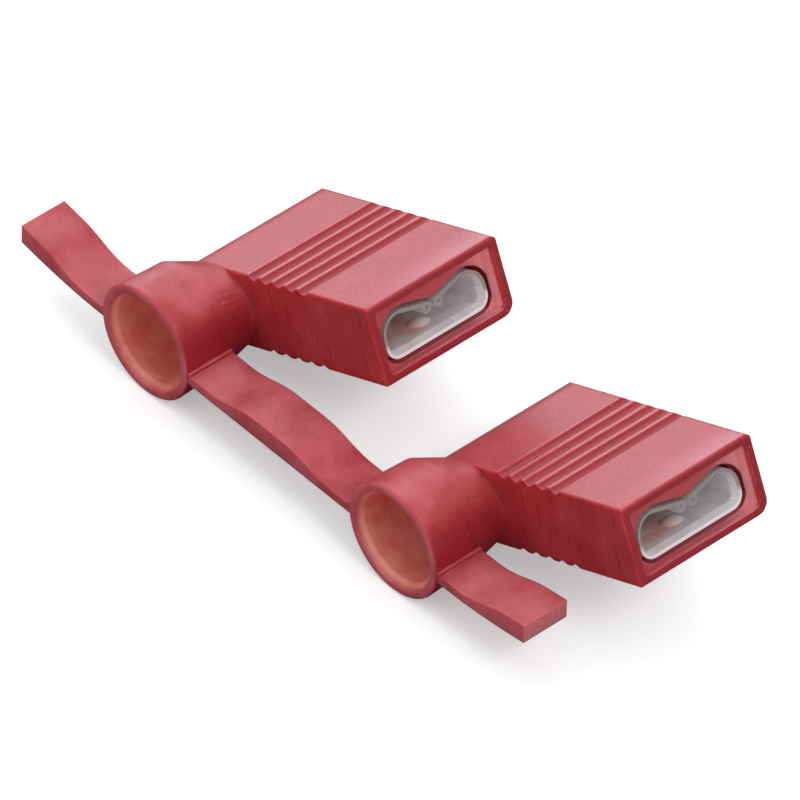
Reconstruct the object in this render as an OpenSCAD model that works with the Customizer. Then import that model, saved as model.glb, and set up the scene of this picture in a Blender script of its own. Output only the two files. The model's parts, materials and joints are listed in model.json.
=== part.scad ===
// Right-angle female spade terminals, fully insulated, still joined by the strip they are moulded on.
// One nylon moulding carries the wire barrels, the housings and the strip between them.
// A rolled sheet-metal contact lies inside each housing: the tab enters it at the front, and the wire
// enters its crimp barrel from the side.

/* [Strip] */
// Distance from one wire barrel's axis to the next, along the strip
pitch = 20.3; // [18:0.1:26]
// Angle by which each housing points up from the strip
housing_tilt = 24; // [12:0.5:32]
// Width of the strip, along the barrel axes
strip_w = 3.1; // [2:0.1:3.8]
// Thickness of the strip beside the barrels
strip_t = 0.6; // [0.4:0.05:0.9]
// Extra thickness of the strip at the break lines, halfway between barrels
break_rise = 0.65; // [0.2:0.05:1.2]
// Height of the strip's thin top face above the barrel axes
strip_top = 0.05; // [-0.45:0.1:0.45]
// How far the strip's near edge stands back from the barrel mouths
strip_setback = 0.12; // [0.08:0.04:0.2]
// How far the broken-off free ends curl up
end_curl = 0.6; // [0:0.1:1]
// How far the free ends reach past the middle of the pitch
end_extra = 0.25; // [0:0.05:1]
// Radius of the bead where the strip meets a barrel
bead_r = 0.17; // [0.1:0.01:0.3]

/* [Wire barrel] */
// Outer radius of the barrel at its mouth
barrel_r = 3.55; // [3.5:0.05:4]
// How much the outer radius falls along the round part
barrel_taper = 0.15; // [0:0.05:0.4]
// Length of the round part
barrel_l = 3.3; // [3.3:0.1:5]
// Length of the neck that blends the barrel into the housing
neck_l = 1.9; // [1:0.1:2.4]
// Inner radius at the mouth
mouth_r = 2.95; // [2.8:0.05:3]
// Length over which the opening narrows from the mouth to the bore
mouth_l = 0.5; // [0.3:0.1:0.8]
// Radius of the straight bore that takes the wire's insulation
bore_r = 2.75; // [2.4:0.05:2.8]
// Length of the cone that leads the wire into the crimp barrel
cone_l = 1.0; // [0.6:0.1:1.4]
// Radius of the cone where it meets the crimp barrel
throat_r = 1.15; // [1.1:0.05:1.3]
// Rounding of the mouth's lip
lip_r = 0.22; // [0.1:0.04:0.22]

/* [Housing] */
// Width of the housing, along the barrel axis
housing_w = 9.4; // [9:0.1:11]
// Thickness of the housing
housing_h = 4.8; // [4.5:0.1:5.6]
// Distance from the barrel axis to the housing's front face
housing_l = 14.3; // [13.5:0.1:17]
// Corner radius along the far bottom edge
far_bottom_r = 1.1; // [0.6:0.1:1.3]
// Corner radius along the far top edge
far_top_r = 0.5; // [0.3:0.1:1]
// Corner radius along the near edges
near_r = 0.15; // [0.1:0.05:0.4]
// Rounding of the edges round the front face
front_r = 0.2; // [0.1:0.05:0.3]

/* [Grip grooves] */
// Number of grooves on each broad face
groove_count = 5; // [3:1:6]
// Distance from one groove to the next
groove_pitch = 1.11; // [0.9:0.01:1.2]
// Distance from the barrel axis to the first groove
groove_start = 4.25; // [3.5:0.05:4.6]
// Radius of the cutter that makes a groove
groove_r = 0.5; // [0.35:0.05:0.7]
// Depth of a groove
groove_depth = 0.24; // [0.1:0.02:0.3]

/* [Tab mouth] */
// Thickness of the rim around the recessed panel
rim_t = 0.5; // [0.4:0.05:0.6]
// Smallest corner radius inside the rim
rim_corner_r = 0.25; // [0.1:0.05:0.4]
// Depth of the recessed panel behind the front face
recess_d = 0.65; // [0.3:0.05:1]
// How far the recess leans inwards at its far side
recess_lean = 0.4; // [0:0.05:0.5]
// Thickness of the housing's floor under the contact
floor_t = 0.65; // [0.62:0.01:0.7]
// Extra room round the contact where it shows in the panel
flare = 0.12; // [0.02:0.02:0.16]
// Depth of that extra room
flare_l = 0.6; // [0.2:0.1:1]
// Width of the shallow channel under the contact's base
relief_w = 3.5; // [2:0.1:4.5]
// Depth of that channel
relief_d = 0.1; // [0.04:0.02:0.12]

/* [Contact] */
// Thickness of the sheet metal
sheet_t = 0.36; // [0.25:0.01:0.42]
// Overall width of the rolled receptacle
contact_w = 7.3; // [7:0.05:7.5]
// Overall height of the rolled receptacle
contact_h = 2.65; // [2.4:0.05:2.75]
// Outer radius of the receptacle's lower corners
lower_r = 0.85; // [0.6:0.05:1]
// Outer radius of the rolled wings
wing_r = 1.3; // [1.15:0.05:1.4]
// Slope of the wings down to the middle, in degrees
wing_slope = 14; // [8:1:18]
// Length of the bevel inside the receptacle's front edge, which leads the tab in
bevel_l = 0.5; // [0.2:0.1:0.8]
// How much that bevel thins the sheet
bevel_d = 0.18; // [0.05:0.01:0.2]
// Gap between the two rolled tips
tip_gap = 0.16; // [0.1:0.02:0.4]
// Outer radius of each rolled tip
tip_r = 0.34; // [0.3:0.01:0.4]
// Length of the receptacle
contact_l = 7.6; // [7:0.1:8.2]
// How far the receptacle's front edge stands back from the recessed panel
contact_setback = 0.05; // [0:0.05:0.5]
// Outer radius of the dimple that holds the tab
dimple_r = 0.7; // [0.5:0.05:0.9]
// Height of the dimple over the base
dimple_h = 0.25; // [0.15:0.05:0.35]
// Distance from the receptacle's front edge to the dimple's centre
dimple_in = 1.9; // [1.5:0.1:4]
// Outer radius of the crimp barrel
crimp_r = 1.5; // [1.35:0.05:1.6]
// Radius of the crimp barrel's bore
crimp_bore_r = 0.95; // [0.8:0.05:1.05]
// Length of the crimp barrel
crimp_l = 5.1; // [4:0.1:5.5]
// How far the crimp barrel reaches out of the housing's near side
crimp_out = 0.6; // [0.2:0.1:0.8]
// Clearance between the contact and the nylon around it
clearance = 0.14; // [0.1:0.01:0.16]

/* [Hidden] */
$fn = 96;
// Small overlap that keeps cuts clean
eps = 0.02;
// Steps in a rounded lip and in a strip ramp
lip_steps = 6;
ramp_steps = 10;
// Sides of the round end of the neck, which is a hull, and of the round parts of the receptacle's bevel
neck_fn = 48;
bevel_fn = 32;
// Share of the barrel's radius from which the strip starts
web_root = 0.85;
// Shares of the half pitch at which the strip starts and ends its ramp
ramp_from = 0.52;
ramp_to = 0.88;
// Part of a rolled tip that stays open
tip_eye = 0.28;

mouth_y = -(barrel_l + neck_l);
root_r = barrel_r - barrel_taper;
half_h = housing_h / 2;
contact_y = housing_w / 2;
panel_x = housing_l - recess_d;
contact_front = panel_x - contact_setback;
contact_back = contact_front - contact_l;
// Distance of a rolled tip's centre from the contact's middle
tip_y = tip_gap / 2 + tip_r;
// Underside of the contact's base, one clearance over the floor
base_z = -half_h + floor_t + clearance;
// The neck plate is as wide as the base's flat part, and steps up to the crimp barrel in its middle third
plate_near = contact_y - contact_w / 2 + lower_r;
plate_w = contact_w - 2 * lower_r;
plate_bend = 1.5;
plate_low = min(base_z, -crimp_r);
plate_high = max(base_z, -crimp_r) + sheet_t;

// Box of the whole part, which sets its origin at the middle of its lowest level; the front face's edges are round
low_corner = [-pitch / 2 - end_extra, mouth_y, -barrel_r];
edge_x = housing_l - front_r;
edge_z = half_h - front_r;
high_x = pitch + edge_x * cos(housing_tilt) + edge_z * sin(housing_tilt) + front_r;
high_corner = [
    max(high_x, 1.5 * pitch + end_extra),
    housing_w,
    edge_x * sin(housing_tilt) + edge_z * cos(housing_tilt) + front_r
];
origin = [
    (low_corner.x + high_corner.x) / 2,
    (low_corner.y + high_corner.y) / 2,
    low_corner.z
];

// Eases from 0 to 1
function ease(s) = (1 - cos(180 * min(max(s, 0), 1))) / 2;

// Places what is drawn about a barrel's axis, with +X towards the tab mouth
module terminal_at(index) {
    translate([index * pitch, 0, 0]) rotate([0, -housing_tilt, 0]) children();
}

// Extrudes an outline of the YZ plane along +X
module along_x(length) {
    rotate([90, 0, 90]) linear_extrude(length) children();
}

// Extrudes an outline of the XZ plane along +Y
module along_y(length) {
    translate([0, length, 0]) rotate([90, 0, 0]) linear_extrude(length) children();
}

// Cylinder about the barrel axis, from y on
module rod_y(r, y, length) {
    translate([0, y, 0]) rotate([-90, 0, 0]) cylinder(r = r, h = length);
}

// Section of the housing across its length, shrunk by an inset, with corners of at least smallest_r
module housing_section(inset = 0, smallest_r = near_r) {
    far_top = max(far_top_r - inset, smallest_r);
    far_bottom = max(far_bottom_r - inset, smallest_r);
    near = max(near_r - inset, smallest_r);
    low = -half_h + inset;
    high = half_h - inset;
    left = inset;
    right = housing_w - inset;
    translate([left + near, low + near]) circle(near);
    translate([left + near, high - near]) circle(near);
    translate([right - far_bottom, low + far_bottom]) circle(far_bottom);
    translate([right - far_top, high - far_top]) circle(far_top);
    polygon([
        [left + near, low], [right - far_bottom, low], [right, low + far_bottom],
        [right, high - far_top], [right - far_top, high], [left + near, high],
        [left, high - near], [left, low + near]
    ]);
}

// Side outline of the housing: a round back about the barrel axis and a flat front
module housing_side() {
    circle(half_h);
    rounded_front(-half_h, half_h);
}

// Rectangle from x = 0 to the front face, between two heights, with its front corners rounded
module rounded_front(low, high) {
    translate([0, low]) square([edge_x, high - low]);
    translate([0, low + front_r]) square([housing_l, high - low - 2 * front_r]);
    translate([edge_x, low + front_r]) circle(front_r);
    translate([edge_x, high - front_r]) circle(front_r);
}

// Cutters for the grooves on the top and bottom faces
module grip_grooves() {
    for (side = [-1, 1])
        for (i = [0 : groove_count - 1])
            translate([groove_start + i * groove_pitch, 0, side * (half_h + groove_r - groove_depth)])
                rod_y(groove_r, -eps, housing_w + 2 * eps);
}

module housing() {
    difference() {
        intersection() {
            along_y(housing_w) housing_side();
            translate([-half_h, 0, 0]) along_x(half_h + housing_l) housing_section();
            translate([0, 0, -half_h]) linear_extrude(housing_h) {
                translate([-half_h, 0]) square([half_h + eps, housing_w]);
                rounded_front(0, housing_w);
            }
        }
        grip_grooves();
    }
}

// Outer half profile of the barrel, with a rounded lip
module barrel_profile() {
    lip = [for (i = [0 : lip_steps])
        let (a = 90 * i / lip_steps)
        [barrel_r - lip_r * (1 - sin(a)), mouth_y + lip_r * (1 - cos(a))]
    ];
    polygon(concat([[0, mouth_y]], lip, [[root_r, -neck_l], [0, -neck_l]]));
}

module barrel() {
    rotate([-90, 0, 0]) rotate_extrude() barrel_profile();
    // The neck runs from the barrel's round end to the housing's near side
    hull() {
        rotate([-90, 0, 0]) translate([0, 0, -neck_l - eps]) cylinder(r = root_r, h = eps, $fn = neck_fn);
        translate([0, near_r, 0]) rotate([90, 0, 0]) linear_extrude(eps) {
            circle(half_h, $fn = neck_fn);
            translate([root_r - half_h, 0]) circle(half_h, $fn = neck_fn);
        }
    }
}

// Wire opening: rounded lip, straight bore and the cone that ends at the crimp barrel
module wire_opening() {
    lip = [for (i = [0 : lip_steps])
        let (a = 90 * i / lip_steps)
        [mouth_r + lip_r * (1 - sin(a)), mouth_y + lip_r * (1 - cos(a))]
    ];
    cone_end = -crimp_out - clearance;
    rotate([-90, 0, 0]) rotate_extrude() polygon(concat(
        [[0, mouth_y - eps], [mouth_r + lip_r, mouth_y - eps]], lip,
        [[bore_r, mouth_y + mouth_l], [bore_r, cone_end - cone_l]],
        [[throat_r, cone_end], [throat_r, cone_end + eps], [0, cone_end + eps]]
    ));
}

// Outer outline of the rolled receptacle, grown or shrunk all round
module receptacle_outline(grow = 0) {
    half = contact_w / 2;
    wing_y = half - wing_r;
    wing_z = contact_h - wing_r;
    reach = wing_r + grow;
    roof = [wing_y - reach * sin(wing_slope), wing_z + reach * cos(wing_slope)];
    dip_z = wing_z + reach / cos(wing_slope) - wing_y * tan(wing_slope);
    for (side = [-1, 1]) {
        translate([side * (half - lower_r), lower_r]) circle(lower_r + grow);
        translate([side * wing_y, wing_z]) circle(reach);
    }
    polygon([
        [half + grow, lower_r], [half + grow, wing_z], [wing_y, wing_z + reach], roof, [0, dip_z],
        [-roof.x, roof.y], [-wing_y, wing_z + reach], [-half - grow, wing_z], [-half - grow, lower_r],
        [lower_r - half, -grow], [half - lower_r, -grow]
    ]);
}

// Sheet section of the receptacle: flat base and wings rolled over it, open in the middle
module rolled_sheet() {
    difference() {
        receptacle_outline();
        receptacle_outline(-sheet_t);
        translate([-tip_y, lower_r]) square([2 * tip_y, contact_h]);
    }
}

// Section of both rolled-down tips, as discs of radius r
module rolled_tips(r) {
    wing_y = contact_w / 2 - wing_r;
    wing_z = contact_h - wing_r;
    roof_z = wing_z + wing_r / cos(wing_slope) - (wing_y - tip_y) * tan(wing_slope);
    for (side = [-1, 1])
        translate([side * tip_y, roof_z - tip_r / cos(wing_slope)]) circle(r);
}

// Cutter that bevels the sheet inside the receptacle's front edge
module front_bevel() {
    inner_w = contact_w - 2 * sheet_t;
    inner_h = contact_h - 2 * sheet_t;
    growth = [1 + 2 * bevel_d / inner_w, 1 + 2 * bevel_d / inner_h];
    translate([contact_l - bevel_l, 0, contact_h / 2]) rotate([90, 0, 90])
        linear_extrude(bevel_l + eps, scale = growth, slices = 1)
            translate([0, -contact_h / 2]) receptacle_outline(-sheet_t, $fn = bevel_fn);
}

module receptacle() {
    difference() {
        union() {
            difference() {
                along_x(contact_l) rolled_sheet();
                front_bevel();
            }
            along_x(contact_l) rolled_tips(tip_r);
        }
        translate([-eps, 0, 0]) along_x(contact_l + 2 * eps) rolled_tips(tip_r * tip_eye);
    }
}

// Side outline of the neck plate, which steps up from the base to the crimp barrel
module plate_side() {
    low = base_z;
    high = -crimp_r;
    polygon([
        [0, high], [plate_bend, high], [2 * plate_bend, low], [contact_back + eps, low],
        [contact_back + eps, low + sheet_t], [2 * plate_bend, low + sheet_t],
        [plate_bend, high + sheet_t], [0, high + sheet_t]
    ]);
}

// Raised dimple in the base, which the hole in a tab snaps over
module dimple() {
    ball_r = (dimple_r * dimple_r + dimple_h * dimple_h) / (2 * dimple_h);
    translate([contact_front - dimple_in, contact_y, base_z + sheet_t + dimple_h - ball_r])
        intersection() {
            sphere(ball_r);
            translate([0, 0, ball_r - dimple_h - eps]) cylinder(r = 2 * dimple_r, h = 2 * dimple_h);
        }
}

module contact() {
    difference() {
        union() {
            translate([contact_back, contact_y, base_z]) receptacle();
            translate([0, plate_near, 0]) along_y(plate_w) plate_side();
            rod_y(crimp_r, -crimp_out, crimp_l);
            dimple();
        }
        rod_y(crimp_bore_r, -crimp_out - eps, crimp_l + 2 * eps);
    }
}

// Room in the nylon for the contact
module contact_pocket() {
    pocket_back = contact_back - clearance;
    translate([pocket_back, contact_y, base_z])
        along_x(panel_x + eps - pocket_back) receptacle_outline(clearance);
    translate([panel_x - flare_l, contact_y, base_z])
        along_x(flare_l + eps) receptacle_outline(clearance + flare);
    // Channel under the base, open at the panel
    translate([pocket_back, contact_y - relief_w / 2, base_z - clearance - relief_d])
        cube([panel_x + eps - pocket_back, relief_w, relief_d + clearance]);
    // Passage of the neck plate
    translate([-clearance, plate_near - clearance, plate_low - clearance]) cube([
        contact_back + 2 * clearance,
        plate_w + 2 * clearance,
        plate_high - plate_low + 2 * clearance
    ]);
    rod_y(crimp_r + clearance, -crimp_out - clearance, crimp_l + 2 * clearance);
}

// Recess in the front face, which leans inwards at its far side
module mouth_recess() {
    intersection() {
        translate([panel_x, 0, 0]) along_x(recess_d + eps) housing_section(rim_t, rim_corner_r);
        translate([0, 0, -half_h]) linear_extrude(housing_h) polygon([
            [panel_x, 0], [housing_l + eps, 0], [housing_l + eps, housing_w - rim_t],
            [housing_l, housing_w - rim_t], [panel_x, housing_w - rim_t - recess_lean]
        ]);
    }
}

// Side outline of the strip from a barrel's axis to a break line, with its end raised by lift and drawn out by extra
module half_web(lift, extra) {
    half = pitch / 2;
    start = barrel_r * web_root;
    xs = concat([start], [for (i = [0 : ramp_steps])
        half * (ramp_from + (ramp_to - ramp_from) * i / ramp_steps)], [half + extra]);
    function share(x) = ease((x / half - ramp_from) / (ramp_to - ramp_from));
    function curl(x) = lift * pow((x - start) / (half - start), 2);
    top = [for (x = xs) [x, strip_top + break_rise * share(x) + curl(x)]];
    low = [for (i = [len(xs) - 1 : -1 : 0]) [xs[i], strip_top - strip_t + curl(xs[i])]];
    polygon(concat(top, low));
}

module web() {
    near = mouth_y + strip_setback;
    translate([0, near, 0]) along_y(strip_w) {
        mirror([1, 0]) half_web(end_curl, end_extra);
        half_web(0, 0);
        translate([pitch, 0]) mirror([1, 0]) half_web(0, 0);
        translate([pitch, 0]) half_web(end_curl, end_extra);
    }
    for (x = [0, pitch])
        for (side = [-1, 1])
            translate([x + side * barrel_r, 0, strip_top]) rod_y(bead_r, near, strip_w);
}

module insulator_strip() {
    color([0.72, 0.2, 0.26]) translate(-origin) difference() {
        union() {
            web();
            for (i = [0, 1]) terminal_at(i) {
                housing();
                barrel();
            }
        }
        for (i = [0, 1]) terminal_at(i) {
            wire_opening();
            contact_pocket();
            mouth_recess();
        }
    }
}

module placed_contact(index) {
    color([0.75, 0.75, 0.77]) translate(-origin) terminal_at(index) contact();
}

module contact_left() {
    placed_contact(0);
}

module contact_right() {
    placed_contact(1);
}

insulator_strip();
contact_left();
contact_right();
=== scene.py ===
import json
import math
import bpy
from mathutils import Matrix, Vector


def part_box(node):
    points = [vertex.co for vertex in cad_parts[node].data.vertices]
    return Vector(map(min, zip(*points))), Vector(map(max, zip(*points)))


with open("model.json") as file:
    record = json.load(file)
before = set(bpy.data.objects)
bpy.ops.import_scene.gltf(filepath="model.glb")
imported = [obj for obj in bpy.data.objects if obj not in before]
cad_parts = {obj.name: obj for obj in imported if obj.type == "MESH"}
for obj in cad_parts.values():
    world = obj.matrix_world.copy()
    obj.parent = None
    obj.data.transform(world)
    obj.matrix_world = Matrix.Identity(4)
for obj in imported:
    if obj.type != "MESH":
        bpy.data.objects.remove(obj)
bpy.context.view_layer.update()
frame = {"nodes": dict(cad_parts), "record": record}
nodes = frame["nodes"]
mounts = {mount["name"]: mount for mount in frame["record"]["mounts"]}
print("frame loaded:", sorted(nodes))

# Where the two terminals lie comes from the frame, and their own sizes are repeated here
mm = 1000.0   # millimetres in a metre, the frame's unit
wireLeft = mounts["wire_entry_left"]["pos_m"]
wireRight = mounts["wire_entry_right"]["pos_m"]
tabAxis = mounts["tab_slot_left"]["axis"]
mouldingLow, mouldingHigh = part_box("insulator_strip")

# All in millimetres, but for the tilt
terminalPlan = {
    "leftAxis": wireLeft[0] * mm,         # X of each wire barrel's axis
    "rightAxis": wireRight[0] * mm,
    "axisHeight": wireLeft[2] * mm,
    "tilt": math.atan2(tabAxis[2], tabAxis[0]),   # radians, the housings' slope along X
    "clearOfBarrel": 4.2,                 # points further than this before the right axis are the left one's
    "farSide": mouldingHigh[1] * mm,
    "mouthSide": mouldingLow[1] * mm,
    "stripMiddle": (wireLeft[0] + wireRight[0]) / 2 * mm,
    "stripLeftEnd": mouldingLow[0] * mm,
    "width": 9.4,
    "halfHeight": 2.4,
    "length": 14.3,
    "rim": 0.5,
    "recess": 0.65,
    "grooveDepth": 0.24,
    "grooveStart": 3.6,
    "grooveEnd": 9.2,
    "boreRadius": 2.75,
    "receptacleFront": 13.6,
}
terminalPlan["nearSide"] = terminalPlan["farSide"] - terminalPlan["width"]
terminalPlan["stripReach"] = terminalPlan["stripMiddle"] - terminalPlan["stripLeftEnd"]
terminalPlan["lipStart"] = terminalPlan["mouthSide"] - terminalPlan["nearSide"]


# Camera: a long lens, far away, at the photograph's angle
cameraPlan = {
    "azimuth": 46.86,           # degrees, 0 looks along +Y
    "elevation": 43.62,
    "roll": 1.96,
    "distance": 0.7313,         # metres from the part's origin
    "pixelsPerMetre": 18345.0,  # at the part's origin
    "originPixel": (388.0, 446.2),
    "imageSide": 800.0,
    "sensorWidth": 36.0,        # millimetres
    "clip": (0.01, 50.0),       # metres
}


def addCamera(plan):
    azimuth = math.radians(plan["azimuth"])
    elevation = math.radians(plan["elevation"])
    roll = math.radians(plan["roll"])
    towards = Vector((
        math.sin(azimuth) * math.cos(elevation),
        -math.cos(azimuth) * math.cos(elevation),
        math.sin(elevation),
    ))
    level = Vector((math.cos(azimuth), math.sin(azimuth), 0.0))
    lifted = towards.cross(level)
    right = level * math.cos(roll) + lifted * math.sin(roll)
    up = lifted * math.cos(roll) - level * math.sin(roll)
    centre = plan["imageSide"] / 2
    pixel = plan["originPixel"]
    aim = right * ((centre - pixel[0]) / plan["pixelsPerMetre"])
    aim += up * ((pixel[1] - centre) / plan["pixelsPerMetre"])
    cameraData = bpy.data.cameras.new("camera")
    cameraData.sensor_width = plan["sensorWidth"]
    focalPixels = plan["pixelsPerMetre"] * plan["distance"]
    cameraData.lens = focalPixels / plan["imageSide"] * plan["sensorWidth"]
    cameraData.clip_start, cameraData.clip_end = plan["clip"]
    camera = bpy.data.objects.new("camera", cameraData)
    bpy.context.scene.collection.objects.link(camera)
    turn = Matrix((right, up, towards)).transposed().to_4x4()
    camera.matrix_world = Matrix.Translation(aim + towards * plan["distance"]) @ turn
    bpy.context.scene.camera = camera


addCamera(cameraPlan)
print("camera placed")


# Soft studio light: an even white tent, with a little more from the back, the left and over the tab mouths
lightPlan = {
    "tentColour": (0.98, 0.985, 1.0),
    "tentStrength": 0.84,
    "areas": {
        # name: (place in metres, size in metres, watts, colour)
        "backLeft": ((-0.62, 0.36, 0.10), 0.34, 0.58, (0.93, 0.95, 1.0)),
        "softBox": ((-0.45, 0.25, 0.55), 0.50, 0.78, (1.0, 0.99, 0.97)),
        "mouthFill": ((0.40, -0.06, 0.50), 0.20, 0.75, (1.0, 0.99, 0.98)),
    },
    "aim": (0.0, 0.0, 0.005),
}


def addLights(plan):
    world = bpy.data.worlds.new("studio")
    bpy.context.scene.world = world
    world.use_nodes = True
    background = world.node_tree.nodes["Background"]
    background.inputs["Color"].default_value = (*plan["tentColour"], 1.0)
    background.inputs["Strength"].default_value = plan["tentStrength"]
    aim = Vector(plan["aim"])
    for name, (place, size, watts, colour) in plan["areas"].items():
        lightData = bpy.data.lights.new(name, "AREA")
        lightData.shape = "DISK"
        lightData.size = size
        lightData.energy = watts
        lightData.color = colour
        light = bpy.data.objects.new(name, lightData)
        light.location = place
        light.rotation_euler = (aim - Vector(place)).to_track_quat("-Z", "Y").to_euler()
        bpy.context.scene.collection.objects.link(light)


addLights(lightPlan)
print("lights placed")


# Helpers for laying material nodes into a tree
def addNode(tree, kind, **settings):
    made = tree.nodes.new("ShaderNode" + kind)
    for name, value in settings.items():
        setattr(made, name, value)
    return made


# Links a socket to another one, or gives it a plain value
def feed(socket, value):
    if isinstance(value, bpy.types.NodeSocket):
        socket.id_data.links.new(value, socket)
    elif socket.type == "RGBA":
        socket.default_value = (*value, 1.0)
    else:
        socket.default_value = value


def sums(tree, operation, *values):
    made = addNode(tree, "Math", operation=operation)
    for socket, value in zip(made.inputs, values):
        feed(socket, value)
    return made.outputs["Value"]


def times(tree, first, *others):
    for other in others:
        first = sums(tree, "MULTIPLY", first, other)
    return first


# factor times the value, plus base
def scaled(tree, value, factor, base):
    return sums(tree, "MULTIPLY_ADD", value, factor, base)


def without(tree, mask):
    return sums(tree, "SUBTRACT", 1.0, mask)


# 0 at the first limit and 1 at the second, with a soft start and end
def ramp(tree, value, limits):
    made = addNode(tree, "MapRange", interpolation_type="SMOOTHSTEP")
    feed(made.inputs["Value"], value)
    made.inputs["From Min"].default_value, made.inputs["From Max"].default_value = limits
    return made.outputs["Result"]


def blend(tree, factor, first, second):
    made = addNode(tree, "Mix", data_type="RGBA")
    feed(made.inputs["Factor"], factor)
    feed(made.inputs["A"], first)
    feed(made.inputs["B"], second)
    return made.outputs["Result"]


# A noise pattern from its scale, detail and roughness
def noise(tree, vector, pattern):
    made = addNode(tree, "TexNoise")
    feed(made.inputs["Vector"], vector)
    for name, value in zip(("Scale", "Detail", "Roughness"), pattern):
        made.inputs[name].default_value = value
    return made.outputs["Fac"]


def stretched(tree, vector, scale):
    made = addNode(tree, "Mapping")
    feed(made.inputs["Vector"], vector)
    made.inputs["Scale"].default_value = scale
    return made.outputs["Vector"]


def split(tree, vector):
    made = addNode(tree, "SeparateXYZ")
    feed(made.inputs["Vector"], vector)
    return made.outputs


def joined(tree, x, y, z):
    made = addNode(tree, "CombineXYZ")
    for socket, value in zip(made.inputs, (x, y, z)):
        feed(socket, value)
    return made.outputs["Vector"]


# How squarely the first direction lies along the second
def facing(tree, first, second):
    made = addNode(tree, "VectorMath", operation="DOT_PRODUCT")
    feed(made.inputs[0], first)
    feed(made.inputs[1], second)
    return made.outputs["Value"]


def useGroup(tree, group, **values):
    made = addNode(tree, "Group", node_tree=group)
    for name, value in values.items():
        feed(made.inputs[name], value)
    return made.outputs


def startGroup(name, inputs, outputs):
    tree = bpy.data.node_groups.new(name, "ShaderNodeTree")
    for socketName, socketType in inputs.items():
        tree.interface.new_socket(socketName, in_out="INPUT", socket_type=socketType)
    for socketName, socketType in outputs.items():
        tree.interface.new_socket(socketName, in_out="OUTPUT", socket_type=socketType)
    given = tree.nodes.new("NodeGroupInput").outputs
    wanted = tree.nodes.new("NodeGroupOutput").inputs
    return tree, given, wanted


# White paper under the part, which throws little of its light back up
floorPlan = {
    "side": 3.0,                # metres
    "paper": (0.97, 0.97, 0.97),
    "bounce": (0.16, 0.155, 0.155),
    "black": (0.0, 0.0, 0.0),
    "roughness": 0.9,
    "lift": 0.32,               # how much the paper's own shadow is lightened
}


def addFloor(plan):
    bpy.ops.object.select_all(action="DESELECT")
    bpy.ops.mesh.primitive_plane_add(size=plan["side"], location=(0.0, 0.0, 0.0))
    floor = bpy.context.object
    floor.name = "floor"
    paper = bpy.data.materials.new("whitePaper")
    paper.use_nodes = True
    tree = paper.node_tree
    shader = tree.nodes["Principled BSDF"]
    seen = addNode(tree, "LightPath").outputs["Is Camera Ray"]
    feed(shader.inputs["Base Color"], blend(tree, seen, plan["bounce"], plan["paper"]))
    feed(shader.inputs["Emission Color"], blend(tree, seen, plan["black"], plan["paper"]))
    shader.inputs["Emission Strength"].default_value = plan["lift"]
    shader.inputs["Roughness"].default_value = plan["roughness"]
    shader.inputs["Specular IOR Level"].default_value = 0.0
    floor.data.materials.append(paper)


addFloor(floorPlan)
print("floor laid")


# Each point's place in its own terminal, in millimetres: along the housing from the wire barrel's axis,
# above that axis, across from the housing's near side, out from the axis, and off the strip's middle
def terminalPlaceGroup(plan):
    measures = ("along", "above", "across", "radius", "reach")
    tree, given, wanted = startGroup(
        "terminalPlace",
        {"Place": "NodeSocketVector"},
        {name: "NodeSocketFloat" for name in measures},
    )
    x, y, z = (sums(tree, "MULTIPLY", part, mm) for part in split(tree, given["Place"]))
    isRight = sums(tree, "GREATER_THAN", x, plan["rightAxis"] - plan["clearOfBarrel"])
    axis = scaled(tree, isRight, plan["rightAxis"] - plan["leftAxis"], plan["leftAxis"])
    aside = sums(tree, "SUBTRACT", x, axis)
    up = sums(tree, "SUBTRACT", z, plan["axisHeight"])
    cosine, sine = math.cos(plan["tilt"]), math.sin(plan["tilt"])
    along = scaled(tree, aside, cosine, sums(tree, "MULTIPLY", up, sine))
    above = scaled(tree, up, cosine, sums(tree, "MULTIPLY", aside, -sine))
    across = sums(tree, "SUBTRACT", y, plan["nearSide"])
    squares = sums(tree, "ADD", times(tree, aside, aside), times(tree, up, up))
    radius = sums(tree, "SQRT", squares)
    reach = sums(tree, "ABSOLUTE", sums(tree, "SUBTRACT", x, plan["stripMiddle"]))
    for name, value in zip(measures, (along, above, across, radius, reach)):
        feed(wanted[name], value)
    return tree


# Small scattered flecks: dust on the nylon, pits in the tin
def flecksGroup():
    tree, given, wanted = startGroup(
        "flecks",
        {
            "Place": "NodeSocketVector",
            "Scale": "NodeSocketFloat",
            "Size": "NodeSocketFloat",
            "Share": "NodeSocketFloat",
        },
        {"mask": "NodeSocketFloat"},
    )
    cells = addNode(tree, "TexVoronoi")
    feed(cells.inputs["Vector"], given["Place"])
    feed(cells.inputs["Scale"], given["Scale"])
    inside = sums(tree, "LESS_THAN", cells.outputs["Distance"], given["Size"])
    chosen = sums(tree, "LESS_THAN", split(tree, cells.outputs["Color"])["X"], given["Share"])
    feed(wanted["mask"], times(tree, inside, chosen))
    return tree


# Edges rounded over in the shading, and how close that keeps to the true surface, 1 where nothing turns
def softEdgeGroup(samples):
    tree, given, wanted = startGroup(
        "softEdge",
        {"Radius": "NodeSocketFloat"},
        {"normal": "NodeSocketVector", "closeness": "NodeSocketFloat"},
    )
    edge = addNode(tree, "Bevel", samples=samples)
    feed(edge.inputs["Radius"], given["Radius"])
    feed(wanted["normal"], edge.outputs["Normal"])
    trueNormal = addNode(tree, "NewGeometry").outputs["Normal"]
    feed(wanted["closeness"], facing(tree, edge.outputs["Normal"], trueNormal))
    return tree


terminalPlace = terminalPlaceGroup(terminalPlan)
flecks = flecksGroup()
softEdge = softEdgeGroup(samples=6)
print("shared effects made")


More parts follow.
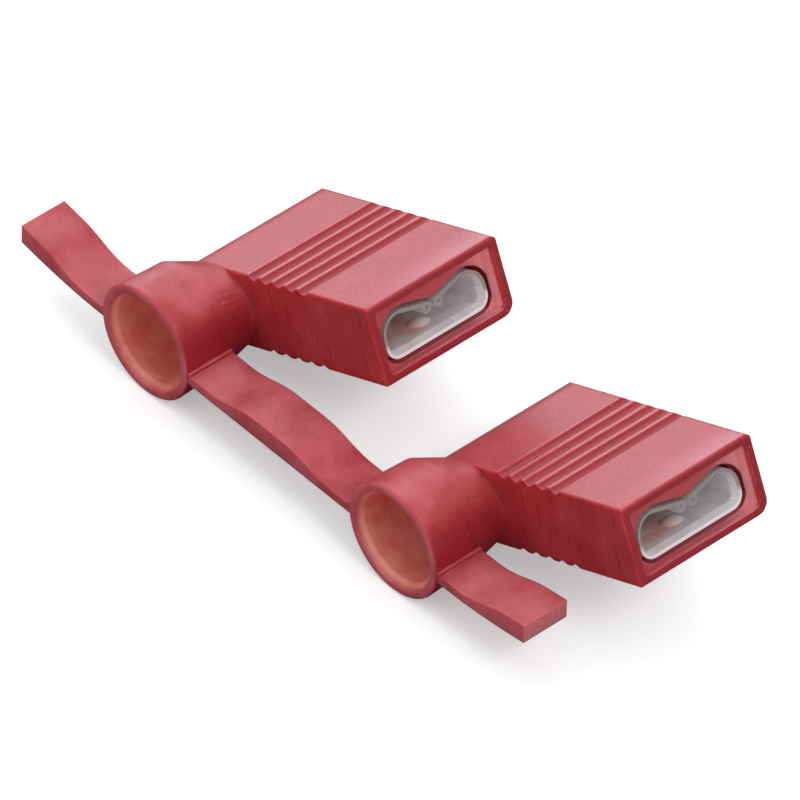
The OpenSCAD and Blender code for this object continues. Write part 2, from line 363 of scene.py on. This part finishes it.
# Puts the relief over the softened edges and into the shader
def addRelief(tree, shader, height, edgeNormal, finish):
    bump = addNode(tree, "Bump")
    bump.inputs["Strength"].default_value = finish["reliefStrength"]
    bump.inputs["Distance"].default_value = finish["reliefDistance"]
    feed(bump.inputs["Height"], height)
    feed(bump.inputs["Normal"], edgeNormal)
    feed(shader.inputs["Normal"], bump.outputs["Normal"])


# A pair is a ramp's two limits, in millimetres unless it is read from a pattern or a facing.
# A pair named Share is how strongly a finish is laid on: what varies, and what is always there.
nylonFinish = {
    "deep": (0.42, 0.024, 0.032),
    "body": (0.50, 0.038, 0.050),
    "cloud": (0.58, 0.075, 0.085),      # pale clouds in the flow of the nylon
    "frostAndSheen": (0.74, 0.28, 0.32),        # broad faces, where the mould was blasted, with painted sheen
    "sheen": (0.80, 0.42, 0.54),        # painted sheen on the last of them, before the tab mouth
    "grooveShade": (0.38, 0.005, 0.020),     # painted shade in the grooves
    "flankShade": (0.32, 0.010, 0.020),      # painted shade on the wire barrel's smooth sides
    "lip": (0.64, 0.15, 0.18),          # the face round its mouth
    "bore": (0.97, 0.36, 0.29),         # a painted glow inside it, for the light the thin wall lets in
    "boreCloud": (0.86, 0.23, 0.18),
    "broken": (0.80, 0.30, 0.32),       # the strip's ends, whitened where it was snapped off
    "mark": (0.24, 0.008, 0.014),       # flow marks on the narrow sides
    "scuff": (0.62, 0.12, 0.14),
    "wearAndHighlight": (0.76, 0.32, 0.36),         # edges rubbed pale, with a painted highlight
    # painted shade: the rim's end face is darker than the body
    "rim": (0.30, 0.009, 0.020),
    "recess": (0.56, 0.085, 0.100),     # the panel behind the rim, painted paler for the light its thin walls let through
    "recessFarGlow": (0.92, 0.36, 0.38),    # and a painted glow where the far wall lets light in behind it
    "dust": (0.80, 0.52, 0.52),
    "roughness": 0.36,
    "roughnessSpread": 0.14,
    "grainRoughness": 0.08,
    "ior": 1.53,
    "subsurface": 0.8,
    "subsurfaceRadius": (1.0, 0.16, 0.14),
    "subsurfaceScale": 0.0011,          # metres, like the lengths below
    "edgeRadius": 0.00007,
    "reliefDistance": 0.00001,
    "reliefStrength": 0.6,
    # Patterns: scale, detail and roughness, and how some are stretched
    "cloudNoise": (420.0, 4.0, 0.55),
    "grainNoise": (9000.0, 3.0, 0.6),
    "crumbNoise": (3600.0, 4.0, 0.65),
    "streakNoise": (1.0, 3.0, 0.55),
    "streakStretch": (2200.0, 300.0, 260.0),
    "markNoise": (1.0, 4.0, 0.65),
    "markStretch": (3.4, 3.4, 0.5),
    "scuffNoise": (1.0, 2.0, 0.5),
    "scuffStretch": (5.2, 5.2, 1.5),
    "dustFlecks": {"Scale": 2600.0, "Size": 0.13, "Share": 0.06},
    # Main colour, frosting and painted sheen
    "bodyClouds": (0.30, 0.62),
    "paleClouds": (0.58, 0.80),
    "bloomClouds": (0.36, 0.62),
    "speckles": (0.36, 0.66),
    "broadFacing": (0.72, 0.97),
    "levelFacing": (0.66, 0.94),
    "housingStart": (-0.3, 0.1),
    "speckleShare": (0.75, 0.25),
    "frostShare": (0.24, 0.05),
    "sheenDepth": 2.6,
    "sheenAcross": (-1.0, 8.0),
    "sheenShare": 0.36,
    # Wire barrel
    "flankFacing": (0.84, 0.45),
    "flankAcross": (0.1, -0.5),
    "flankRadius": (5.0, 4.4),
    "flankShare": 0.85,
    "boreWall": (0.32, 0.12),
    "boreAcross": (-1.2, -1.7),
    "boreClouds": (0.58, 0.38),
    "boreShare": 0.9,
    "lipFacing": (-0.45, -0.9),
    "lipDepth": 0.4,
    "lipShare": (0.4, 0.45),
    # Grooves
    "grooveEdge": 0.1,
    "valleyDepth": 0.3,                 # of the groove's depth
    "valleySpare": 0.02,
    "valleyShare": 0.95,
    "ridgeHighlightShare": 0.22,
    # Narrow sides
    "markLimits": (0.52, 0.66),
    "markShare": 0.6,
    "scuffLimits": (0.66, 0.74),
    "scuffShare": 0.5,
    # Tab mouth
    "rimDepths": (0.30, 0.12),
    "rimFacing": (0.55, 0.95),
    "rimShare": 0.9,
    "rimOverlap": 0.04,
    "panelDepths": (0.12, 0.04),
    "panelShare": (0.3, 0.65),
    "farLight": (6.2, 8.8),
    # Broken ends of the strip
    "endDepths": (0.7, 0.5),
    "endFacing": (0.6, 0.85),
    "endAcross": (-1.0, -1.6),
    "endShare": (0.4, 0.4),
    # Rubbed and highlighted edges, and dust
    "wearCloseness": (0.985, 0.90),
    "wearClouds": (0.40, 0.60),
    "wearShare": 0.40,
    "dustShare": 0.25,
    # Heights in the relief
    "grainHeight": 0.5,
    "streakHeight": 0.8,
    "dustHeight": 0.8,
    "cloudHeight": 2.2,
    "crumbHeight": 4.0,
    "markHeight": -1.2,
    "scuffHeight": 2.0,
}


# Where each point lies and which way it faces, and the patterns that all the nylon's finishes share
def readNylon(tree, finish, plan):
    coordinates = addNode(tree, "TexCoord").outputs
    here, normal = coordinates["Object"], coordinates["Normal"]
    cosine, sine = math.cos(plan["tilt"]), math.sin(plan["tilt"])
    place = useGroup(tree, terminalPlace, Place=here)
    at = {name: place[name] for name in ("along", "above", "across", "radius", "reach")}
    at["here"] = here
    at["normal"] = split(tree, normal)
    at["forward"] = facing(tree, normal, (cosine, 0.0, sine))
    at["onHousing"] = ramp(tree, at["across"], finish["housingStart"])
    squarely = sums(tree, "ABSOLUTE", facing(tree, normal, (-sine, 0.0, cosine)))
    level = ramp(tree, at["normal"]["Z"], finish["levelFacing"])
    levelElsewhere = times(tree, level, without(tree, at["onHousing"]))
    at["broad"] = sums(tree, "MAXIMUM", ramp(tree, squarely, finish["broadFacing"]), levelElsewhere)
    at["narrow"] = without(tree, at["broad"])
    at["depth"] = sums(tree, "SUBTRACT", plan["halfHeight"], sums(tree, "ABSOLUTE", at["above"]))
    at["clouds"] = noise(tree, here, finish["cloudNoise"])
    at["grain"] = noise(tree, here, finish["grainNoise"])
    at["speckle"] = ramp(tree, at["grain"], finish["speckles"])
    at["bloom"] = ramp(tree, at["clouds"], finish["bloomClouds"])
    return at


# The nylon's own red, frosted where the mould was blasted, with painted sheen on the broad faces and a
# painted cool sheen towards the tab mouth
def frostAndSheenBody(tree, at, finish, plan):
    tone = blend(tree, ramp(tree, at["clouds"], finish["bodyClouds"]), finish["deep"], finish["body"])
    tone = blend(tree, ramp(tree, at["clouds"], finish["paleClouds"]), tone, finish["cloud"])
    speckled = scaled(tree, at["onHousing"], *finish["speckleShare"])
    extra = sums(tree, "SUBTRACT", at["speckle"], at["bloom"])
    patches = scaled(tree, extra, speckled, at["bloom"])
    # Painted sheen: the broad faces are paler, partly from their blasted finish
    frostAndSheenMask = times(tree, at["broad"], scaled(tree, patches, *finish["frostShare"]))
    tone = blend(tree, frostAndSheenMask, tone, finish["frostAndSheen"])
    front = ramp(tree, at["along"], (plan["length"] - finish["sheenDepth"], plan["length"]))
    # Painted highlight: a cool sheen towards the tab mouth
    paintedSheen = times(tree, front, at["onHousing"], times(tree, at["broad"], finish["sheenShare"]))
    paintedSheen = times(tree, paintedSheen, ramp(tree, at["across"], finish["sheenAcross"]))
    return blend(tree, paintedSheen, tone, finish["sheen"])


# Painted shade: a deeper red down the wire barrel's steep sides
def barrelFlankShade(tree, tone, at, finish):
    steep = ramp(tree, at["normal"]["Z"], finish["flankFacing"])
    offHousing = ramp(tree, at["across"], finish["flankAcross"])
    onBarrel = ramp(tree, at["radius"], finish["flankRadius"])
    flankShade = times(tree, steep, offHousing, onBarrel, finish["flankShare"])
    return blend(tree, flankShade, tone, finish["flankShade"])


# Painted highlight on the ridges between grooves, and painted shade deepening the grooves' red towards their
# floors
def grooveShadeAndRidgeHighlight(tree, tone, at, finish, plan):
    edge = finish["grooveEdge"]
    inGrooves = times(
        tree,
        ramp(tree, at["along"], (plan["grooveStart"], plan["grooveStart"] + edge)),
        ramp(tree, at["along"], (plan["grooveEnd"], plan["grooveEnd"] - edge)),
    )
    ridgeHighlight = times(tree, inGrooves, at["broad"], at["onHousing"], finish["ridgeHighlightShare"])
    tone = blend(tree, ridgeHighlight, tone, finish["frostAndSheen"])
    sunk = ramp(tree, at["depth"], (0.0, plan["grooveDepth"] * finish["valleyDepth"]))
    nearFace = sums(tree, "LESS_THAN", at["depth"], plan["grooveDepth"] + finish["valleySpare"])
    notSide = times(tree, nearFace, at["onHousing"])
    grooveShade = times(tree, times(tree, sunk, inGrooves), notSide, finish["valleyShare"])
    return blend(tree, grooveShade, tone, finish["grooveShade"])


# Thin dark flow marks up the narrow sides, and short pale scuffs among them
def sideMarks(tree, tone, at, finish):
    turned = joined(tree, at["along"], at["across"], at["above"])
    upright = noise(tree, stretched(tree, turned, finish["markStretch"]), finish["markNoise"])
    marks = times(tree, ramp(tree, upright, finish["markLimits"]), at["narrow"])
    tone = blend(tree, times(tree, marks, finish["markShare"]), tone, finish["mark"])
    rubbed = noise(tree, stretched(tree, turned, finish["scuffStretch"]), finish["scuffNoise"])
    onSides = times(tree, at["narrow"], at["onHousing"])
    scuffs = times(tree, ramp(tree, rubbed, finish["scuffLimits"]), onSides)
    tone = blend(tree, times(tree, scuffs, finish["scuffShare"]), tone, finish["scuff"])
    return tone, marks, scuffs


# Painted shade on the rim's dark end face, and the panel behind it painted paler, with a painted glow
# towards the far wall
def tabMouthShadeAndGlow(tree, tone, at, finish, plan):
    rimLimits = [plan["length"] - depth for depth in finish["rimDepths"]]
    endFace = ramp(tree, at["along"], rimLimits)
    # Painted shade on the rim's end face
    rim = times(tree, endFace, ramp(tree, at["forward"], finish["rimFacing"]), finish["rimShare"])
    tone = blend(tree, rim, tone, finish["rim"])
    inset = plan["rim"] - finish["rimOverlap"]
    inFrame = times(
        tree,
        sums(tree, "GREATER_THAN", at["across"], inset),
        sums(tree, "LESS_THAN", at["across"], plan["width"] - inset),
        sums(tree, "GREATER_THAN", at["depth"], inset),
    )
    panelLimits = [plan["length"] - plan["recess"] - depth for depth in finish["panelDepths"]]
    panel = times(tree, inFrame, ramp(tree, at["along"], panelLimits), without(tree, endFace))
    # Painted light: the panel glows paler towards the far wall
    panelGlow = blend(tree, ramp(tree, at["across"], finish["farLight"]), finish["recess"], finish["recessFarGlow"])
    laidOn = times(tree, panel, scaled(tree, at["speckle"], *finish["panelShare"]))
    return blend(tree, laidOn, tone, panelGlow), panel


# The strip's two end faces, whitened where it was snapped off
def brokenEnds(tree, tone, at, finish, plan):
    endLimits = [plan["stripReach"] - depth for depth in finish["endDepths"]]
    outward = ramp(tree, sums(tree, "ABSOLUTE", at["normal"]["X"]), finish["endFacing"])
    ends = times(
        tree,
        ramp(tree, at["reach"], endLimits),
        outward,
        ramp(tree, at["across"], finish["endAcross"]),
        scaled(tree, at["speckle"], *finish["endShare"]),
    )
    return blend(tree, ends, tone, finish["broken"])


# Painted glow in the wire barrel's bore, and the lip round its mouth
def boreGlowAndLip(tree, tone, at, finish, plan):
    wallLimits = [plan["boreRadius"] + depth for depth in finish["boreWall"]]
    bore = times(
        tree,
        ramp(tree, at["radius"], wallLimits),
        ramp(tree, at["across"], finish["boreAcross"]),
        finish["boreShare"],
    )
    boreGlowTone = blend(tree, ramp(tree, at["clouds"], finish["boreClouds"]), finish["bore"], finish["boreCloud"])
    tone = blend(tree, bore, tone, boreGlowTone)
    lip = times(
        tree,
        ramp(tree, at["normal"]["Y"], finish["lipFacing"]),
        ramp(tree, at["across"], (plan["lipStart"] + finish["lipDepth"], plan["lipStart"])),
        scaled(tree, at["bloom"], *finish["lipShare"]),
    )
    return blend(tree, lip, tone, finish["lip"])


# Pale where the softened surface turns away from the true one: rubbed wear and a painted edge highlight
def rubbedAndHighlightedEdges(tree, tone, at, closeness, finish):
    wornAndHighlighted = times(
        tree,
        ramp(tree, closeness, finish["wearCloseness"]),
        ramp(tree, at["clouds"], finish["wearClouds"]),
        at["onHousing"],
        finish["wearShare"],
    )
    return blend(tree, wornAndHighlighted, tone, finish["wearAndHighlight"])


def redNylon(finish, plan):
    material = bpy.data.materials.new("redNylon")
    material.use_nodes = True
    tree = material.node_tree
    shader = tree.nodes["Principled BSDF"]
    at = readNylon(tree, finish, plan)
    edge = useGroup(tree, softEdge, Radius=finish["edgeRadius"])

    tone = frostAndSheenBody(tree, at, finish, plan)
    tone = barrelFlankShade(tree, tone, at, finish)
    tone = grooveShadeAndRidgeHighlight(tree, tone, at, finish, plan)
    tone, marks, scuffs = sideMarks(tree, tone, at, finish)
    tone, panel = tabMouthShadeAndGlow(tree, tone, at, finish, plan)
    tone = brokenEnds(tree, tone, at, finish, plan)
    tone = boreGlowAndLip(tree, tone, at, finish, plan)
    tone = rubbedAndHighlightedEdges(tree, tone, at, edge["closeness"], finish)
    dust = useGroup(tree, flecks, Place=at["here"], **finish["dustFlecks"])["mask"]
    tone = blend(tree, times(tree, dust, finish["dustShare"]), tone, finish["dust"])
    feed(shader.inputs["Base Color"], tone)

    smoothest = finish["roughness"] - finish["roughnessSpread"] / 2
    dull = scaled(tree, at["clouds"], finish["roughnessSpread"], smoothest)
    feed(shader.inputs["Roughness"], scaled(tree, at["grain"], finish["grainRoughness"], dull))
    shader.inputs["IOR"].default_value = finish["ior"]
    shader.inputs["Subsurface Weight"].default_value = finish["subsurface"]
    shader.inputs["Subsurface Radius"].default_value = finish["subsurfaceRadius"]
    shader.inputs["Subsurface Scale"].default_value = finish["subsurfaceScale"]

    # Relief: blasted grain, flow streaks, dust, slow waves, crumbs in the recess, and the sides' marks
    streaks = noise(tree, stretched(tree, at["here"], finish["streakStretch"]), finish["streakNoise"])
    crumbs = times(tree, noise(tree, at["here"], finish["crumbNoise"]), panel)
    relief = scaled(tree, at["grain"], finish["grainHeight"], times(tree, streaks, finish["streakHeight"]))
    relief = scaled(tree, dust, finish["dustHeight"], relief)
    relief = scaled(tree, at["clouds"], finish["cloudHeight"], relief)
    relief = scaled(tree, crumbs, finish["crumbHeight"], relief)
    relief = scaled(tree, marks, finish["markHeight"], relief)
    relief = scaled(tree, scuffs, finish["scuffHeight"], relief)
    addRelief(tree, shader, relief, edge["normal"], finish)
    return material


tinFinish = {
    "bright": (0.95, 0.935, 0.94),
    "grey": (0.82, 0.80, 0.81),
    # rolling lines, and painted shade up in the rolled wings
    "smokeAndShade": (0.42, 0.38, 0.37),
    "warmReflection": (0.86, 0.52, 0.47),         # a painted reflection of the red nylon on the near wing
    "tarnish": (0.22, 0.18, 0.17),
    # a painted highlight along the low part of the cut edge
    "edge": (0.97, 0.97, 0.97),
    "shearedShade": (0.30, 0.27, 0.27),      # bare metal on the blanked edge, darkened with painted shade
    "metallic": 0.30,
    "roughness": 0.36,
    "roughnessSpread": 0.20,
    "pitRoughness": 0.2,
    "edgeRadius": 0.00004,              # metres
    "reliefDistance": 0.000004,         # metres
    "reliefStrength": 0.5,
    "blotchHeight": 2.0,
    # Patterns: scale, detail and roughness; the rolling lines run along the sheet
    "rolledStretch": (0.5, 14.0, 14.0),
    "rolledNoise": (1.6, 4.0, 0.6),
    "blotchNoise": (700.0, 3.0, 0.5),
    "pitFlecks": {"Scale": 2600.0, "Size": 0.12, "Share": 0.10},
    # Ramps, in millimetres unless they are read from a pattern, and how strongly each is laid on
    "brightBlotches": (0.34, 0.60),
    "rolledLimits": (0.50, 0.72),
    "rolledShare": 0.55,
    "warmAcross": (5.4, 3.8),
    "warmAlong": (13.1, 12.2),
    "warmBlotches": (0.36, 0.54),
    "roofAbove": (-0.1, 0.9),
    "roofBlotches": (0.30, 0.62),
    "roofShare": 0.5,
    "pitShare": 0.6,
    "cutDepths": (0.06, 0.02),
    "lowAbove": (-0.4, -1.1),
    "shearedShare": 0.85,
    "edgeHighlightShare": 0.9,
}


def tinPlate(finish, plan):
    material = bpy.data.materials.new("tinPlate")
    material.use_nodes = True
    tree = material.node_tree
    shader = tree.nodes["Principled BSDF"]
    here = addNode(tree, "TexCoord").outputs["Object"]
    place = useGroup(tree, terminalPlace, Place=here)
    along, above, across = place["along"], place["above"], place["across"]
    placed = zip((along, across, above), finish["rolledStretch"])
    lines = [times(tree, value, stretch) for value, stretch in placed]
    rolled = noise(tree, joined(tree, *lines), finish["rolledNoise"])
    blotches = noise(tree, here, finish["blotchNoise"])
    pits = useGroup(tree, flecks, Place=here, **finish["pitFlecks"])["mask"]

    # Cloudy tin with rolling lines
    tone = blend(tree, ramp(tree, blotches, finish["brightBlotches"]), finish["grey"], finish["bright"])
    rolling = times(tree, ramp(tree, rolled, finish["rolledLimits"]), finish["rolledShare"])
    tone = blend(tree, rolling, tone, finish["smokeAndShade"])

    # A painted reflection of the nylon on the near wing, painted shade up in the rolled wings, pitted all
    # over
    nylonReflection = times(tree, ramp(tree, across, finish["warmAcross"]), ramp(tree, along, finish["warmAlong"]))
    nylonReflection = times(tree, nylonReflection, ramp(tree, blotches, finish["warmBlotches"]))
    tone = blend(tree, nylonReflection, tone, finish["warmReflection"])
    wingShade = times(tree, ramp(tree, above, finish["roofAbove"]), ramp(tree, blotches, finish["roofBlotches"]))
    tone = blend(tree, times(tree, wingShade, finish["roofShare"]), tone, finish["smokeAndShade"])
    tone = blend(tree, times(tree, pits, finish["pitShare"]), tone, finish["tarnish"])

    # The blanked front edge: bare metal with painted shade above, a painted highlight below
    cutLimits = [plan["receptacleFront"] - depth for depth in finish["cutDepths"]]
    cut = ramp(tree, along, cutLimits)
    low = ramp(tree, above, finish["lowAbove"])
    upperCutShade = scaled(tree, low, -finish["shearedShare"], finish["shearedShare"])
    tone = blend(tree, times(tree, cut, upperCutShade), tone, finish["shearedShade"])
    tone = blend(tree, times(tree, cut, times(tree, low, finish["edgeHighlightShare"])), tone, finish["edge"])
    feed(shader.inputs["Base Color"], tone)

    shader.inputs["Metallic"].default_value = finish["metallic"]
    smoothest = finish["roughness"] - finish["roughnessSpread"] / 2
    dull = scaled(tree, rolled, finish["roughnessSpread"], smoothest)
    feed(shader.inputs["Roughness"], scaled(tree, pits, finish["pitRoughness"], dull))
    edge = useGroup(tree, softEdge, Radius=finish["edgeRadius"])
    addRelief(tree, shader, scaled(tree, blotches, finish["blotchHeight"], rolled), edge["normal"], finish)
    return material


def dress(nodeName, material):
    mesh = nodes[nodeName].data
    mesh.materials.clear()
    mesh.materials.append(material)


nylon = redNylon(nylonFinish, terminalPlan)
tin = tinPlate(tinFinish, terminalPlan)
dress("insulator_strip", nylon)
dress("contact_left", tin)
dress("contact_right", tin)
print("moulding and contacts dressed")

scene = bpy.context.scene
scene.view_settings.view_transform = "Standard"
scene.view_settings.look = "None"
